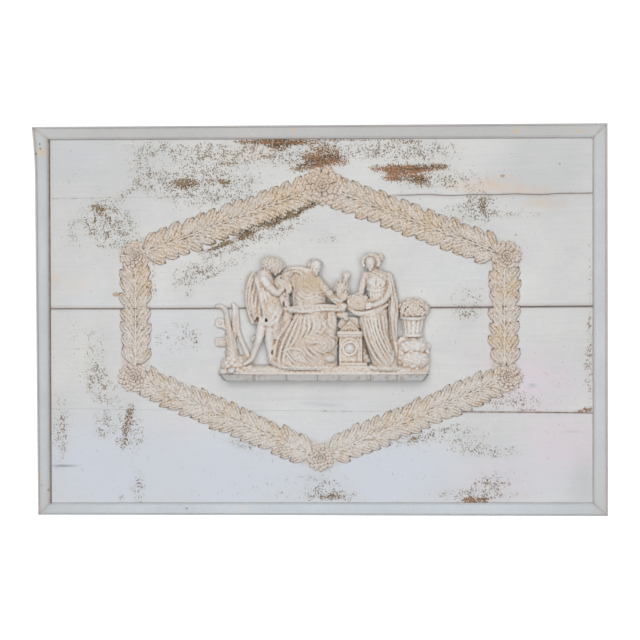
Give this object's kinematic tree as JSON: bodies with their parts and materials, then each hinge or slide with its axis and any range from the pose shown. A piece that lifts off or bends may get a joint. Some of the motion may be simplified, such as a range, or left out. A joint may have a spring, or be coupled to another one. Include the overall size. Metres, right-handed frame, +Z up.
{
  "type": "carved relief wall panel",
  "caption": "Wide painted board panel in a mitred frame, with a hexagonal leaf garland and a high relief figure group on a ledge, made to hang on a wall.",
  "frame": {"origin": "on the flat back of the panel, in the middle of its width and height, on the third board from the top", "axes": "+X to the viewer's right along the panel's width, +Z up, +Y out of the back into the wall, so the carved front faces -Y"},
  "size_m": [1.513, 0.088, 1.032],
  "materials": {
    "board_paint": "distressed off-white paint over old softwood, worn through to brown wood in patches",
    "frame_paint": "pale grey-blue paint, lightly stained, with thin dark lines at the edges",
    "garland_paint": "cream paint rubbed back to tan, with brown in the recesses",
    "figure_paint": "off-white paint with a warm brown glaze left in the hollows",
    "ledge_paint": "grey-white paint, cracked, with a dirty lower edge"
  },
  "bodies": {
    "root": {"board_top": "board_paint", "board_upper_middle": "board_paint", "board_lower_middle": "board_paint", "board_bottom": "board_paint", "frame_top": "frame_paint", "frame_right": "frame_paint", "frame_bottom": "frame_paint", "frame_left": "frame_paint", "garland_upper_left": "garland_paint", "garland_upper_right": "garland_paint", "garland_lower_left": "garland_paint", "garland_lower_right": "garland_paint", "garland_left_low": "garland_paint", "garland_left_high": "garland_paint", "garland_right_low": "garland_paint", "garland_right_high": "garland_paint", "rosette_top": "garland_paint", "rosette_upper_left": "garland_paint", "rosette_lower_left": "garland_paint", "rosette_bottom": "garland_paint", "rosette_lower_right": "garland_paint", "rosette_upper_right": "garland_paint", "group_ledge": "ledge_paint", "figure_group": "figure_paint"}
  },
  "joints": []
}
